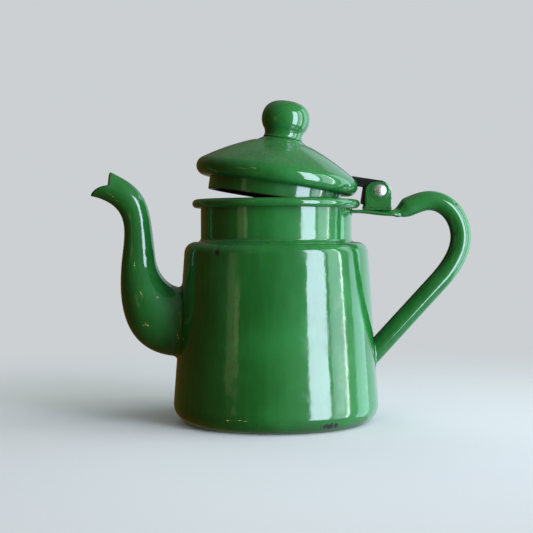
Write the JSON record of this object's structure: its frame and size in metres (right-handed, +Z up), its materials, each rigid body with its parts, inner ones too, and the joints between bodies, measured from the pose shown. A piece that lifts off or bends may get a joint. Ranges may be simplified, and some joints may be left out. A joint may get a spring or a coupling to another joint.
{
  "type": "gooseneck kettle",
  "caption": "Enamelled sheet-steel kettle with a tall swan-neck spout, a rolled strap handle and a hinged domed lid with a ball knob.",
  "frame": {"origin": "middle of the flat foot ring, on the pot's axis, at the level of the table", "axes": "+Z up along the pot's axis, -X towards the spout, +X towards the handle and the lid's hinge, Y across, along the hinge pin"},
  "size_m": [0.2035, 0.11, 0.1716],
  "materials": {
    "green_enamel": "gloss vitreous enamel on sheet steel",
    "dark_enamel": "gloss dark ground-coat enamel on sheet steel",
    "bright_metal": "bare, lightly polished rivet"
  },
  "bodies": {
    "pot": {"pot_shell": "green_enamel", "bottom_plate": "green_enamel", "spout": "green_enamel", "handle": "green_enamel", "hinge_bracket": "green_enamel", "hinge_rivet": "bright_metal"},
    "lid": {"lid_cover": "green_enamel", "lid_skirt": "green_enamel", "knob": "green_enamel", "knob_rivet": "bright_metal", "hinge_leaf": "dark_enamel"}
  },
  "joints": [
    {"name": "lid_hinge", "type": "hinge", "parent": "pot", "child": "lid", "pos_m": [0.055, 0, 0.1226], "axis": [0, 1, 0], "range_deg": [-8.5, 147]}
  ]
}
